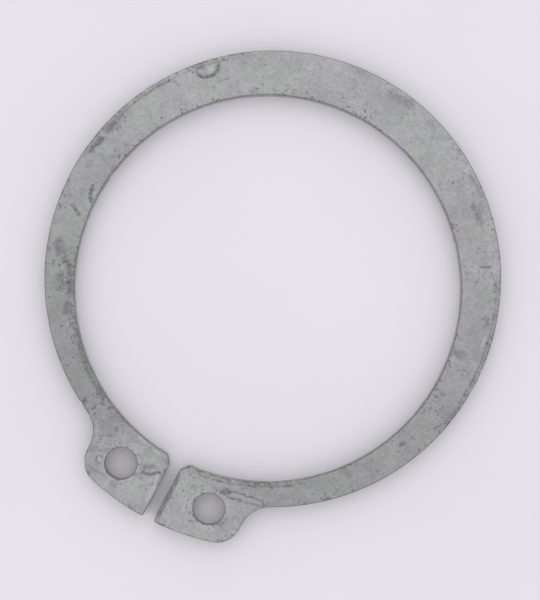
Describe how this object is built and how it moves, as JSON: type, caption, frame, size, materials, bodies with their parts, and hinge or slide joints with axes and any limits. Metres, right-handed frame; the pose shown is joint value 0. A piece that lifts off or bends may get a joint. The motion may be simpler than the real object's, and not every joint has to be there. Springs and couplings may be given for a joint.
{
  "type": "external retaining ring",
  "caption": "Flat external retaining ring of spring steel with an open gap and lugs with pliers holes; snaps into a shaft groove to hold a bearing or gear in place.",
  "frame": {"origin": "on the axis of the shaft that the ring grips, in the plane of the ring's underside", "axes": "+Z along the shaft, out of the ring's upper face; -Y towards the gap and the lugs; X across the gap, the plane X = 0 being the plane of symmetry"},
  "size_m": [0.038, 0.0415, 0.0015],
  "materials": {
    "coated_spring_steel": "satin"
  },
  "bodies": {
    "root": {"retaining_ring": "coated_spring_steel"}
  },
  "joints": []
}
